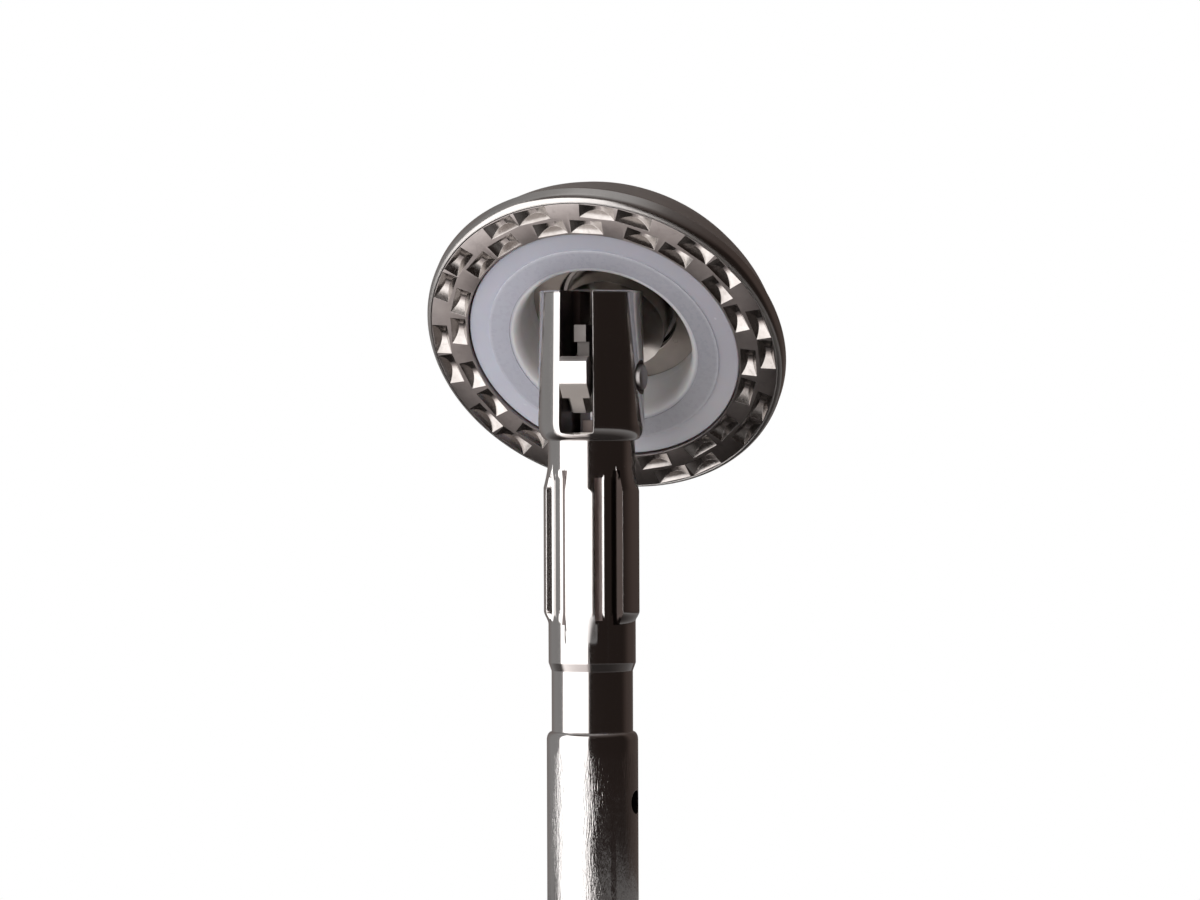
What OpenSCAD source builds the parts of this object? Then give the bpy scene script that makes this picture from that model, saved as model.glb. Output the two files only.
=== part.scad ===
// Tilt-top anvil assembly of a circular surgical stapler.
// The origin is the centre of the centre rod's lower mouth, +Z runs up the rod, the pivot pin lies along X
// and the face of the tilted head looks towards -Y. The head is drawn closed and then turned by its tilt.

/* [Centre rod] */
// Length of the centre rod
rod_length = 50.5; // [46:0.5:60]
// Diameter of the forked head of the rod
fork_diameter = 7.18; // [6.8:0.02:7.3]
// Straight length of the forked head
fork_length = 8.9; // [8.4:0.1:9.3]
// Length of the rounded shoulder under the fork
shoulder_length = 1.2; // [0.8:0.1:1.5]
// Diameter of the neck between fork and splines
neck_diameter = 5.9; // [5.7:0.05:6.1]
// Diameter of the lower barrel
barrel_diameter = 6.18; // [6.1:0.01:6.5]
// Diameter of the grasping groove
groove_diameter = 5.5; // [5.3:0.05:5.7]
// Depth of the grasping groove's upper edge below the rod's top
groove_depth = 25.1; // [24:0.1:26]
// Length of the grasping groove with its slopes
groove_length = 5.2; // [4:0.1:6]
// Length of each slope of the grasping groove
groove_slope = 0.55; // [0.3:0.05:0.8]
// Chamfer on the rod's upper and lower edge
rod_chamfer = 0.15; // [0.1:0.05:0.3]

/* [Fork slot] */
// Width of the slot between the two prongs
slot_width = 2.2; // [2.15:0.01:2.4]
// Depth of the slot below the rod's top
slot_depth = 9.55; // [9.5:0.05:10]
// Chamfer on the outer edges of the slot
slot_chamfer = 0.12; // [0.05:0.01:0.2]

/* [Splines] */
// Number of splines
spline_count = 5; // [4:1:6]
// Diameter over the spline tips
spline_diameter = 6.5; // [6.3:0.05:6.7]
// Width of a spline at its tip
spline_tip_width = 2.0; // [1.6:0.01:2.1]
// Width of a spline at its foot
spline_foot_width = 2.16; // [2.12:0.01:2.3]
// Radius of the flattened crest of a spline
spline_crest_radius = 5.5; // [4:0.5:8]
// Width of the channel along each side of a spline
channel_width = 0.43; // [0.35:0.01:0.5]
// Depth of the channels under the neck's round
channel_depth = 0.09; // [0.05:0.01:0.12]
// Depth of the splines' upper end below the rod's top
spline_depth = 11.6; // [11:0.1:13]
// Length of the splines with both run-outs
spline_length = 10.9; // [8:0.1:12]
// Length of the upper run-out
spline_upper_ramp = 2.0; // [1:0.1:2.5]
// Length of the lower run-out
spline_lower_ramp = 0.9; // [0.5:0.1:1.5]

/* [Lower bore] */
// Diameter of the bore that takes the trocar
trocar_bore_diameter = 4.4; // [4:0.05:4.6]
// Depth of the trocar bore
trocar_bore_depth = 18; // [14:0.5:20]
// Diameter of the detent groove inside the bore
detent_diameter = 4.9; // [4.8:0.05:5.2]
// Distance of the detent groove from the mouth
detent_height = 6.4; // [5:0.1:7]
// Width of the detent groove
detent_width = 0.9; // [0.6:0.1:1.2]
// Number of slits between the flexible arms
slit_count = 4; // [3:1:6]
// Width of each slit
slit_width = 0.4; // [0.3:0.05:0.6]
// Length of each slit
slit_length = 8.4; // [6:0.1:9]
// Diameter of the cross hole above the slits
cross_hole_diameter = 1.6; // [1:0.1:2]
// Depth of the cross hole below the rod's top
cross_hole_depth = 34.5; // [33:0.1:35]

/* [Pivot] */
// Diameter of the pivot pin
pin_diameter = 1.7; // [1.5:0.05:1.8]
// Radial clearance round the pivot pin
pin_clearance = 0.05; // [0.02:0.01:0.08]
// Depth of the pin's axis below the rod's top
pin_depth = 5.84; // [5.8:0.01:5.9]
// How far each pin end stands out of the fork's round
pin_stand = 0.26; // [0.22:0.01:0.3]
// Height of the domed pin ends
pin_dome = 0.2; // [0.1:0.02:0.2]
// Tilt of the head in the drawn pose, degrees
head_tilt = 52; // [40:1:65]
// Height of the head's face above the pin when the head is closed
face_height = 3.37; // [3.3:0.01:3.45]

/* [Head] */
// Outer diameter of the head
head_diameter = 24.94; // [24.6:0.02:25.2]
// Height of the head from its face to the top of the dome
head_height = 7.1; // [7.05:0.05:7.4]
// Depth of the head's inner floor under its face
head_floor = 6.1; // [6:0.05:6.2]
// Width of the rim outside the pocket ring's seat
rim_width = 0.39; // [0.34:0.01:0.42]
// Height of the slope between the inner wall and the floor
cavity_slope = 1.8; // [1.6:0.1:1.9]
// Width of the rolled lip round the pocket ring
lip_width = 0.1; // [0.05:0.01:0.15]
// Radius of the rim's rounded edge
rim_round = 0.3; // [0.2:0.02:0.33]

/* [Pocket ring] */
// Thickness of the pocket ring
pocket_ring_thickness = 1.3; // [1.1:0.05:1.4]
// Number of pocket pairs in each row
pocket_pairs = 10; // [8:1:11]
// Depth of a staple pocket
pocket_depth = 0.55; // [0.4:0.05:0.7]

/* [Cutting ring and backup plate] */
// Gap between the cutting ring and the head's inner wall
cutting_ring_gap = 0.11; // [0.08:0.01:0.15]
// Diameter of the cutting ring's hole at its face
cutting_ring_hole = 12.88; // [12.6:0.02:13]
// Diameter of the cutting ring's sleeve inside
sleeve_bore = 12.0; // [11.9:0.02:12.2]
// Wall of the cutting ring's sleeve
sleeve_wall = 0.75; // [0.6:0.05:0.8]
// Depth of the cutting ring's face under the head's face
cutting_ring_inset = 0.2; // [0.15:0.01:0.3]
// Thickness of the cutting ring's flange
cutting_ring_thickness = 2.05; // [1.8:0.05:2.2]
// Depth of the sleeve's end under the head's face
sleeve_depth = 4.2; // [3.9:0.05:4.25]
// How far the lip at the sleeve's end stands in
sleeve_lip = 0.13; // [0.05:0.01:0.2]
// Length over which the sleeve narrows to its lip
sleeve_lip_length = 0.8; // [0.5:0.05:1]
// Thickness of the film on the cutting ring
cover_thickness = 0.1; // [0.08:0.01:0.12]
// Sheet thickness of the backup plate
plate_thickness = 0.55; // [0.5:0.05:0.6]
// Radial gap between the boss and the hole in the backup plate
plate_hole_gap = 0.45; // [0.42:0.01:0.6]
// How far the ring and its plate move into the head when fired
ring_travel = 1.0; // [0.5:0.1:1.1]

/* [Post] */
// Diameter of the boss inside the head
boss_diameter = 7.4; // [7.2:0.02:7.5]
// Diameter of the stud through the dome
stud_diameter = 5.0; // [4:0.1:5.5]
// Width of the tongue in the fork's slot
tongue_width = 1.94; // [1.85:0.01:2]
// Width of the latch's slot in the tongue
latch_slot_width = 1.0; // [0.98:0.01:1.05]
// Distance from the pin to the end of the tail
tail_reach = 3.52; // [3.4:0.01:3.55]
// Distance from the pin to the front of the tail
tail_front = 3.4; // [3.2:0.01:3.42]
// Height of the flat front of the tail
tail_front_height = 0.55; // [0.4:0.05:0.7]
// Width of the narrow foot behind the tail
foot_width = 0.92; // [0.8:0.01:0.95]
// Distance from the pin to the tongue's front
tongue_front = 1.4; // [1.3:0.05:1.45]
// Distance from the pin to the tongue's back
tongue_back = 2.35; // [2.2:0.05:2.4]
// Length of the chamfer under the tail's front
tail_chamfer = 1.2; // [1:0.1:1.3]
// Where the tail's flat end starts behind the pin
tail_heel = 0.3; // [0.2:0.05:0.4]
// Distance from the pin to the start of the narrow foot's side steps
foot_start = 0.95; // [0.9:0.05:1]
// Thickness of the spacer washer
washer_thickness = 0.3; // [0.25:0.01:0.32]
// Wall of the retainer clip
clip_wall = 0.25; // [0.2:0.01:0.3]
// Gap between the retainer clip's tabs
clip_gap = 0.6; // [0.5:0.05:0.8]

/* [Latch, plunger and spring] */
// Thickness of the cam latch
latch_thickness = 0.84; // [0.8:0.01:0.9]
// Radius of the latch's hub
latch_hub_radius = 1.45; // [1.35:0.01:1.5]
// Height of the latch's nose above the pin
latch_nose_height = 3.52; // [3.2:0.01:3.6]
// Reach of the latch's nose in front of the pin
latch_nose_reach = 2.49; // [2.2:0.01:2.6]
// Diameter of the plunger
plunger_diameter = 2.9; // [2.6:0.02:2.94]
// Radial clearance of the plunger in its bore
plunger_clearance = 0.05; // [0.03:0.01:0.08]
// Length of the plunger's body
plunger_length = 4.4; // [3.5:0.1:5]
// Distance from the pin down to the tip of the plunger's finger
finger_drop = 2.9; // [2.88:0.01:3]
// Length of the plunger's finger
finger_length = 2.1; // [2:0.05:2.3]
// Thickness of the plunger's finger
finger_thickness = 0.95; // [0.8:0.01:1]
// Depth of the plunger's bore below the rod's top
plunger_bore_depth = 24.6; // [24:0.1:26]
// Outer diameter of the spring
spring_diameter = 2.7; // [2.4:0.05:2.8]
// Diameter of the spring's wire
wire_diameter = 0.36; // [0.3:0.01:0.4]
// Number of turns of the spring
spring_turns = 9; // [7:1:10]

/* [Hidden] */

// Overrun of every cut
over = 1.5;
// Facets of turned surfaces and of small rounds
turn_fn = 96;
small_fn = 48;
// Gap between pieces that seat on each other
seat_gap = 0.03;
// Gap round the parts that swing inside the post
swing_gap = 0.1;
// Small edge break on the cutting ring
ring_edge = 0.15;

// Radii inside the head as shares of its outer radius
cavity_share = 0.7578;
floor_share = 0.5613;
// Dome outline as shares of the head's radius and height, from the rim's band to the middle
dome_shares = [[1, 0.169], [0.982, 0.22], [0.946, 0.345], [0.898, 0.507], [0.847, 0.64], [0.794, 0.76],
  [0.722, 0.852], [0.642, 0.91], [0.53, 0.953], [0.4, 0.98], [0.25, 0.995]];
dome_edge_share = 0.998;
stud_end_share = 0.995;
rim_depth_share = 1.5;

// Middle of each pocket row and the pocket's width, as shares of the pocket ring's width
outer_row_share = 0.247;
inner_row_share = 0.741;
pocket_width_share = 0.403;
pocket_narrow_share = 0.3;
// Length of a half pocket as a share of its row's radius
outer_length_share = 0.21;
inner_length_share = 0.218;
// Turn of the pocket pattern and the angle between the two halves of a pair
pocket_turn = 33.3;
outer_spacing = 12.8;
inner_spacing = 14.6;

// Edges of the film as shares of the cutting ring's width, from its hole
cover_start_share = 0.05;
cover_end_share = 0.55;
clip_tab_share = 0.6;
// Where a channel is deepest as a share of its width
channel_floor_share = 0.67;
// Corners of the latch as shares of its reach and height
latch_shank_share = 0.707;
latch_step_share = 0.673;
latch_back_share = 0.36;
latch_web_share = 0.8;
// Corners of the tongue as shares of its back, chamfer and front
heel_rise_share = 0.25;
heel_back_share = 0.66;
chamfer_rise_share = 0.75;
room_floor_share = 1.15;

fork_r = fork_diameter / 2;
neck_r = neck_diameter / 2;
barrel_r = barrel_diameter / 2;
groove_r = groove_diameter / 2;
spline_r = spline_diameter / 2;
spline_tip_half = spline_tip_width / 2;
spline_foot_half = spline_foot_width / 2;
// Height of the crest's edge, and of the channel's bottom beside the foot, above the rod's axis
spline_edge_y = spline_r - spline_crest_radius
  + sqrt(spline_crest_radius * spline_crest_radius - spline_tip_half * spline_tip_half);
channel_r = neck_r - channel_depth;
spline_foot_y = sqrt(channel_r * channel_r - spline_foot_half * spline_foot_half);
pin_r = pin_diameter / 2;
pin_hole_r = pin_r + pin_clearance;
pin_z = rod_length - pin_depth;
slot_floor_z = rod_length - slot_depth;
slot_edge_y = sqrt(fork_r * fork_r - slot_width * slot_width / 4);

fork_end_z = rod_length - fork_length;
spline_top_z = rod_length - spline_depth;
spline_end_z = spline_top_z - spline_length;
groove_top_z = rod_length - groove_depth;
groove_end_z = groove_top_z - groove_length;

finger_tip_z = pin_z - finger_drop;
plunger_top_z = finger_tip_z - finger_length;
plunger_end_z = plunger_top_z - plunger_length;
spring_seat_z = rod_length - plunger_bore_depth;
nub_r = spring_diameter / 2 - wire_diameter - 2 * plunger_clearance;

head_r = head_diameter / 2;
seat_r = head_r - rim_width;
cavity_r = head_r * cavity_share;
floor_r = head_r * floor_share;
// Depth at which the inner wall turns in towards the floor
cavity_step = head_floor - cavity_slope;
pocket_ring_width = seat_r - cavity_r;
outer_row_radius = seat_r - pocket_ring_width * outer_row_share;
inner_row_radius = seat_r - pocket_ring_width * inner_row_share;
pocket_width = pocket_ring_width * pocket_width_share;
stud_r = stud_diameter / 2;
boss_r = boss_diameter / 2;

ring_r = cavity_r - cutting_ring_gap;
ring_hole_r = cutting_ring_hole / 2;
sleeve_r = sleeve_bore / 2;
ring_back = cutting_ring_inset + cutting_ring_thickness;
plate_hole_r = boss_r + plate_hole_gap;
plate_wall_in = sleeve_r + sleeve_wall + seat_gap;
plate_wall_out = plate_wall_in + plate_thickness;
plate_floor = sleeve_depth + seat_gap;
washer_top = head_floor - washer_thickness - seat_gap;

// Rounded edge by a quarter turn, from the wide radius down to the narrow one
function shoulder(wide, narrow, top, length, steps = 6) =
  [for (i = [0:steps]) [narrow + (wide - narrow) * cos(90 * i / steps), top - length * sin(90 * i / steps)]];

module rod_body() {
  rotate_extrude($fn = turn_fn) polygon(concat(
    [[0, rod_length], [fork_r - rod_chamfer, rod_length], [fork_r, rod_length - rod_chamfer]],
    shoulder(fork_r, neck_r, fork_end_z, shoulder_length),
    [[neck_r, groove_top_z], [groove_r, groove_top_z - groove_slope],
     [groove_r, groove_end_z + groove_slope]],
    [for (i = [4:-1:0]) [groove_r + (barrel_r - groove_r) * cos(90 * i / 4),
      groove_end_z + groove_slope * sin(90 * i / 4)]],
    [[barrel_r, rod_chamfer], [barrel_r - rod_chamfer, 0], [0, 0]]));
}

// Outline of one spline across the rod, with its flattened crest
module spline_outline(steps = 3) {
  polygon(concat([[-spline_foot_half, 0], [-spline_foot_half, spline_edge_y]],
    [for (i = [-steps:steps]) [spline_tip_half * i / steps, spline_r - spline_crest_radius
      + sqrt(spline_crest_radius * spline_crest_radius - pow(spline_tip_half * i / steps, 2))]],
    [[spline_foot_half, spline_edge_y], [spline_foot_half, 0]]));
}

// Splines with run-outs that rise from the neck's round
module splines() {
  high = 2 * spline_r - neck_r;
  deep = 2 * neck_r - spline_r;
  low_z = spline_end_z - spline_lower_ramp;
  top_z = spline_top_z + spline_upper_ramp;
  intersection() {
    for (i = [0:spline_count - 1])
      rotate([0, 0, 180 + i * 360 / spline_count])
        translate([0, 0, low_z]) linear_extrude(top_z - low_z) spline_outline();
    rotate_extrude($fn = turn_fn) polygon([[0, low_z], [deep, low_z],
      [high, spline_end_z + 2 * spline_lower_ramp], [high, spline_top_z - 2 * spline_upper_ramp],
      [deep, top_z], [0, top_z]]);
  }
}

// Cut beside one spline: its flank, then a shallow channel that rises to the neck's round
module channel_outline() {
  lean = (spline_foot_half - spline_tip_half) / (spline_edge_y - spline_foot_y);
  floor_x = spline_foot_half + channel_width * channel_floor_share;
  edge_x = spline_foot_half + channel_width;
  floor_y = sqrt(channel_r * channel_r - floor_x * floor_x);
  edge_y = sqrt(neck_r * neck_r - edge_x * edge_x);
  polygon([[spline_foot_half, spline_foot_y], [floor_x, floor_y],
    [2 * edge_x - floor_x, 2 * edge_y - floor_y], [edge_x + over, edge_y + over],
    [spline_tip_half - lean * over, spline_edge_y + over]]);
}

module spline_channels() {
  low = spline_end_z + spline_lower_ramp / 4;
  high = spline_top_z - spline_upper_ramp / 4;
  for (i = [0:spline_count - 1], side = [0, 1])
    rotate([0, 0, 180 + i * 360 / spline_count]) mirror([side, 0, 0])
      translate([0, 0, low]) linear_extrude(high - low) channel_outline();
}

module fork_slot() {
  translate([-slot_width / 2, -fork_r - over, slot_floor_z])
    cube([slot_width, fork_diameter + 2 * over, slot_depth + over]);
  for (side = [-1, 1], face = [-1, 1])
    translate([side * slot_width / 2, face * slot_edge_y, slot_floor_z])
      rotate([0, 0, 45]) translate([-slot_chamfer, -slot_chamfer, 0])
        cube([2 * slot_chamfer, 2 * slot_chamfer, slot_depth + over]);
  for (face = [-1, 1])
    translate([0, face * (fork_r + slot_edge_y) / 2, slot_floor_z])
      rotate([45, 0, 0]) cube([slot_width, 2 * slot_chamfer, 2 * slot_chamfer], center = true);
}

module trocar_bore() {
  bore_r = trocar_bore_diameter / 2;
  rotate_extrude($fn = turn_fn) polygon([[0, -over], [bore_r, -over], [bore_r, detent_height],
    [detent_diameter / 2, detent_height + detent_width / 4],
    [detent_diameter / 2, detent_height + detent_width * 3 / 4], [bore_r, detent_height + detent_width],
    [bore_r, trocar_bore_depth], [0, trocar_bore_depth + bore_r / 2]]);
  for (i = [0:slit_count - 1])
    rotate([0, 0, (i + 1 / 2) * 360 / slit_count])
      translate([0, -slit_width / 2, -over]) cube([barrel_r + over, slit_width, slit_length + over]);
}

module center_rod() {
  color("silver") difference() {
    union() {
      rod_body();
      splines();
    }
    spline_channels();
    fork_slot();
    translate([0, 0, pin_z]) rotate([0, 90, 0])
      cylinder(r = pin_hole_r, h = fork_diameter + 2 * over, center = true, $fn = small_fn);
    translate([0, 0, rod_length - plunger_bore_depth])
      cylinder(d = plunger_diameter + 2 * plunger_clearance, h = plunger_bore_depth, $fn = small_fn);
    trocar_bore();
    translate([0, 0, rod_length - cross_hole_depth]) rotate([0, 90, 0])
      cylinder(d = cross_hole_diameter, h = barrel_r + over, $fn = small_fn);
  }
}

module pivot_pin() {
  half = fork_r + pin_stand - pin_dome;
  color("gainsboro") translate([0, 0, pin_z]) rotate([0, 90, 0]) rotate_extrude($fn = small_fn)
    polygon(concat([for (i = [0:5]) [pin_r * sin(18 * i), -half - pin_dome * cos(18 * i)]],
      [for (i = [5:-1:0]) [pin_r * sin(18 * i), half + pin_dome * cos(18 * i)]]));
}

module plunger() {
  r = plunger_diameter / 2;
  color("darkgray") {
    rotate_extrude($fn = small_fn) polygon([[0, plunger_end_z - nub_r], [nub_r, plunger_end_z - nub_r],
      [nub_r, plunger_end_z], [r, plunger_end_z], [r, plunger_top_z - rod_chamfer],
      [r - rod_chamfer, plunger_top_z], [0, plunger_top_z]]);
    intersection() {
      cylinder(r = r, h = finger_tip_z, $fn = small_fn);
      translate([-finger_thickness / 2, -r / 3, plunger_top_z - rod_chamfer])
        cube([finger_thickness, r, finger_length + rod_chamfer]);
    }
  }
}

// Spring: one tube along a helix, with closed ends, eight rings to a turn and six sides
coil_rings = 8;
coil_sides = 6;
coil_r = spring_diameter / 2 - wire_diameter / 2;
coil_low = spring_seat_z + wire_diameter / 2 + seat_gap;
coil_high = plunger_end_z - wire_diameter / 2 - seat_gap;
coil_steps = spring_turns * coil_rings;
coil_pitch = (coil_high - coil_low) / spring_turns;
function coil_point(i) = [coil_r * cos(i * 360 / coil_rings), coil_r * sin(i * 360 / coil_rings),
  coil_low + coil_pitch * i / coil_rings];
function coil_ring(i) = let (p = coil_point(i), a = i * 360 / coil_rings)
  [for (k = [0:coil_sides - 1]) let (b = k * 360 / coil_sides)
    [p[0] + wire_diameter / 2 * cos(b) * cos(a), p[1] + wire_diameter / 2 * cos(b) * sin(a),
     p[2] + wire_diameter / 2 * sin(b)]];
coil_points = [for (i = [0:coil_steps]) each coil_ring(i)];
coil_faces = concat(
  [for (i = [0:coil_steps - 1], k = [0:coil_sides - 1])
    let (a = i * coil_sides + k, b = i * coil_sides + (k + 1) % coil_sides)
    each [[a, b, a + coil_sides], [b, b + coil_sides, a + coil_sides]]],
  [for (k = [1:coil_sides - 2]) [0, k + 1, k]],
  [for (k = [1:coil_sides - 2]) let (s = coil_steps * coil_sides) [s, s + k, s + k + 1]]);
coil_gap = min([for (i = [0:coil_rings]) for (j = [i + coil_rings / 2:coil_steps])
  norm(coil_point(j) - coil_point(i))]) - wire_diameter;
echo(least_gap_between_turns = coil_gap);

module plunger_spring() {
  color("slategray") polyhedron(points = coil_points, faces = coil_faces, convexity = 10);
}

// Latch outline from the side: x is forward of the pin, y is above it
module latch_outline() {
  shank = latch_nose_reach * latch_shank_share;
  step = latch_nose_height * latch_step_share;
  circle(r = latch_hub_radius, $fn = small_fn);
  polygon([[latch_hub_radius * cos(30), latch_hub_radius * sin(30)],
    [shank, latch_hub_radius * latch_web_share], [shank, step], [latch_nose_reach, step], [latch_nose_reach, latch_nose_height],
    [latch_nose_reach * latch_back_share, latch_nose_height],
    [-latch_hub_radius * sin(15), latch_hub_radius * cos(15)]]);
}

// Stands an outline, drawn with x forward and y up, in the plane of the slot at the pin
module in_slot_plane(thickness) {
  translate([-thickness / 2, 0, 0]) rotate([90, 0, -90]) mirror([0, 0, 1])
    linear_extrude(thickness) children();
}

module cam_latch() {
  color("gray") translate([0, 0, pin_z]) difference() {
    in_slot_plane(latch_thickness) latch_outline();
    rotate([0, 90, 0]) cylinder(r = pin_hole_r, h = latch_thickness + over, center = true, $fn = small_fn);
  }
}

// Everything below is drawn closed, with z measured from the pin, and turned by the tilt
module tilted() {
  translate([0, 0, pin_z]) rotate([-head_tilt, 0, 0]) children();
}

// Profile turned about the head's axis, its points are radius and depth under the face
module head_turned(points, fn = turn_fn) {
  translate([0, 0, face_height]) rotate_extrude($fn = fn) polygon(points);
}

module anvil_head() {
  rim = [for (i = [0:5])
    [head_r - rim_round * (1 - sin(18 * i)), rim_round * rim_depth_share * (1 - cos(18 * i))]];
  color("dimgray") tilted() head_turned(concat(
    [[seat_r, 0], [seat_r + lip_width, 0]], rim,
    [for (p = dome_shares) [p[0] * head_r, p[1] * head_height]],
    [[stud_r + seat_gap, head_height * dome_edge_share], [stud_r + seat_gap, head_floor],
     [floor_r, head_floor], [cavity_r, cavity_step], [cavity_r, pocket_ring_thickness + seat_gap],
     [seat_r, pocket_ring_thickness + seat_gap]]));
}

// One half of a staple pocket: a scoop along the ring between sloped sides, narrow where it is deep
module pocket_scoop(row_r, angle, length) {
  scoop_r = (length * length / 4 + pocket_depth * pocket_depth) / (2 * pocket_depth);
  half = pocket_width / 2;
  narrow = half * pocket_narrow_share;
  rotate([0, 0, angle]) translate([row_r, 0, 0]) intersection() {
    translate([0, 0, pocket_depth - scoop_r]) rotate([0, 90, 0])
      cylinder(r = scoop_r, h = pocket_width + over, center = true, $fn = turn_fn);
    rotate([90, 0, 0]) linear_extrude(length + over, center = true)
      polygon([[-half, -over], [half, -over], [half, 0], [narrow, pocket_depth],
        [-narrow, pocket_depth], [-half, 0]]);
  }
}

module pocket_row(row_r, first, length, spacing) {
  for (i = [0:pocket_pairs - 1], side = [-1, 1])
    pocket_scoop(row_r, first + i * 360 / pocket_pairs + side * spacing / 2, length);
}

module pocket_ring() {
  color("darkgray") tilted() difference() {
    head_turned([[cavity_r + seat_gap, 0], [seat_r - seat_gap, 0],
      [seat_r - seat_gap, pocket_ring_thickness], [cavity_r + seat_gap, pocket_ring_thickness]]);
    translate([0, 0, face_height]) {
      pocket_row(outer_row_radius, pocket_turn, outer_row_radius * outer_length_share, outer_spacing);
      pocket_row(inner_row_radius, pocket_turn + 180 / pocket_pairs,
        inner_row_radius * inner_length_share, inner_spacing);
    }
  }
}

module cutting_ring() {
  round_r = ring_hole_r - sleeve_r;
  bell = [for (i = [6:-1:0])
    [sleeve_r + round_r * (1 - sin(15 * i)), cutting_ring_inset + 2 * round_r * (1 - cos(15 * i))]];
  color("ghostwhite") tilted() head_turned(concat(
    [[ring_r - ring_edge, cutting_ring_inset], [ring_r, cutting_ring_inset + ring_edge], [ring_r, ring_back],
     [sleeve_r + sleeve_wall, ring_back], [sleeve_r + sleeve_wall, sleeve_depth],
     [sleeve_r - sleeve_lip, sleeve_depth], [sleeve_r, sleeve_depth - sleeve_lip_length]], bell));
}

module ring_cover() {
  inner = ring_hole_r + (ring_r - ring_hole_r) * cover_start_share;
  outer = ring_hole_r + (ring_r - ring_hole_r) * cover_end_share;
  color("white", 0.5) tilted() head_turned([[inner, cutting_ring_inset], [outer, cutting_ring_inset],
    [outer, cutting_ring_inset - cover_thickness], [inner, cutting_ring_inset - cover_thickness]]);
}

module backup_plate() {
  top = ring_back + seat_gap;
  color("rosybrown") tilted() head_turned([[ring_r, top], [ring_r, top + plate_thickness],
    [plate_wall_out, top + plate_thickness], [plate_wall_out, plate_floor + plate_thickness / 2],
    [plate_wall_out - plate_thickness / 2, plate_floor + plate_thickness],
    [plate_hole_r, plate_floor + plate_thickness], [plate_hole_r, plate_floor],
    [plate_wall_in, plate_floor], [plate_wall_in, top]]);
}

module retainer_clip() {
  low = plate_floor + plate_thickness + seat_gap * 2;
  high = washer_top - seat_gap * 2;
  color("dimgray") tilted() difference() {
    head_turned([[boss_r + seat_gap, low], [boss_r + seat_gap + clip_wall, low],
      [boss_r + seat_gap + clip_wall, high], [boss_r + seat_gap, high]]);
    for (i = [0:5]) rotate([0, 0, 60 * i]) translate([0, -clip_gap / 2, face_height + low - over])
      cube([boss_r + over, clip_gap, i == 0 ? high : over + (high - low) * clip_tab_share]);
  }
}

module spacer_washer() {
  outer = floor_r - washer_thickness;
  color("silver") tilted() head_turned([[boss_r + seat_gap, washer_top], [outer, washer_top],
    [outer, head_floor - seat_gap], [boss_r + seat_gap, head_floor - seat_gap]]);
}

// Tongue outline from the side in the closed head: x is forward of the pin, y is above it
module tongue_outline(top) {
  front_low = tail_chamfer * chamfer_rise_share - tail_reach;
  polygon([[-tongue_back, top], [-tongue_back, -tongue_back * heel_rise_share],
    [-tongue_back * heel_back_share, -tail_reach / 2], [-tail_heel, -tail_reach],
    [tail_front - tail_chamfer, -tail_reach], [tail_front, front_low],
    [tail_front, front_low + tail_front_height],
    [tongue_front, (tail_front_height - tail_reach) / 2], [tongue_front, top]]);
}

// Room that the latch needs in the tongue while the head tilts
module latch_room() {
  reach = latch_nose_height + tongue_back;
  circle(r = latch_hub_radius + swing_gap, $fn = small_fn);
  polygon([[0, -latch_hub_radius - swing_gap], [reach, -tongue_front * room_floor_share],
    [reach, reach], [-latch_hub_radius, reach], [-latch_hub_radius - swing_gap, 0]]);
}

module pivot_post() {
  boss_top = face_height + head_floor;
  edge_r = fork_r - rod_chamfer;
  swing_r = sqrt(pin_depth * pin_depth + edge_r * edge_r) + swing_gap;
  color("darkgray") tilted() difference() {
    union() {
      difference() {
        union() {
          translate([0, 0, face_height]) cylinder(r = boss_r, h = head_floor - seat_gap, $fn = turn_fn);
          cylinder(r = stud_r, h = face_height + head_height * stud_end_share, $fn = turn_fn);
        }
        sphere(r = swing_r, $fn = turn_fn);
      }
      in_slot_plane(tongue_width) tongue_outline(boss_top - boss_r / 2);
    }
    in_slot_plane(latch_slot_width) latch_room();
    rotate([0, 90, 0]) cylinder(r = pin_hole_r, h = tongue_width + over, center = true, $fn = small_fn);
    for (side = [-1, 1])
      translate([side * (foot_width + tongue_width) / 2, 0, -tail_reach])
        cube([tongue_width, 2 * foot_start, 2 * (tail_reach - pin_r - pin_diameter)], center = true);
  }
}

center_rod();
pivot_pin();
plunger();
plunger_spring();
cam_latch();
pivot_post();
anvil_head();
pocket_ring();
backup_plate();
cutting_ring();
ring_cover();
spacer_washer();
retainer_clip();
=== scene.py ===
import math
import bpy
import bmesh
from mathutils import Matrix, Vector


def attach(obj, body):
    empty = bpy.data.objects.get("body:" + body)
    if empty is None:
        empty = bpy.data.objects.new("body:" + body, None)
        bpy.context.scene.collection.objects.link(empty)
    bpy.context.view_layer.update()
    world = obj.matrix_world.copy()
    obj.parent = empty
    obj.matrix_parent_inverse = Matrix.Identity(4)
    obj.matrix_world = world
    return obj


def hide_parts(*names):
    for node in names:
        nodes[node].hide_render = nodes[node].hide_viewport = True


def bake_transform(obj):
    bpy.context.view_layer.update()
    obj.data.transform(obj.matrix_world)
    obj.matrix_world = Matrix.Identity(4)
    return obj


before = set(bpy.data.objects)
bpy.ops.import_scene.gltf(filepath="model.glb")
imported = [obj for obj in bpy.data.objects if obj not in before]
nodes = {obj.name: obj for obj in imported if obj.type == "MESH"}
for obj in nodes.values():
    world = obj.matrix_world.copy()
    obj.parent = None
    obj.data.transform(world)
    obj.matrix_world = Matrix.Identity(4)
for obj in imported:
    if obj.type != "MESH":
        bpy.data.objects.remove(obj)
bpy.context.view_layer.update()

mm = 0.001
print("scene: packed frame loaded,", len(nodes), "nodes")

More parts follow.
